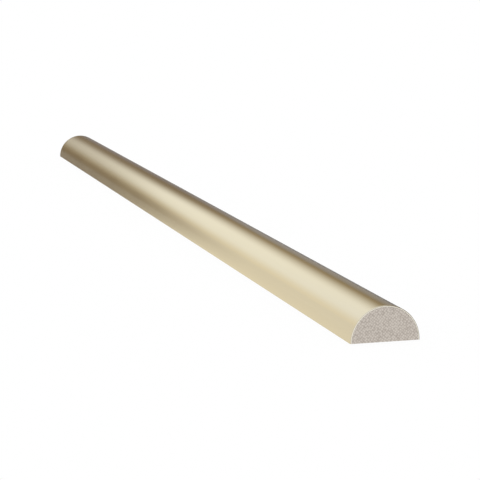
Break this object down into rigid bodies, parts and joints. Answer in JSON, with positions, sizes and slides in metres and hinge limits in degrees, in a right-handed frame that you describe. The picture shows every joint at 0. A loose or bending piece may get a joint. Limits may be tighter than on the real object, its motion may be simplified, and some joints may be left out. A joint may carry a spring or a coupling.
{
  "type": "half-round moulding",
  "caption": "Straight half-round trim strip with a flat back: a thin gold metal sheet bent over a solid cast core.",
  "frame": {"origin": "the middle of the flat back, which lies on the level floor", "axes": "+X along the strip, +Y across it, +Z away from the flat back, towards the round side"},
  "size_m": [0.3048, 0.0152, 0.0076],
  "materials": {
    "core_body": "matte",
    "gold_sheet": "satin"
  },
  "bodies": {
    "root": {"core": "core_body", "metal_cap": "gold_sheet"}
  },
  "joints": []
}
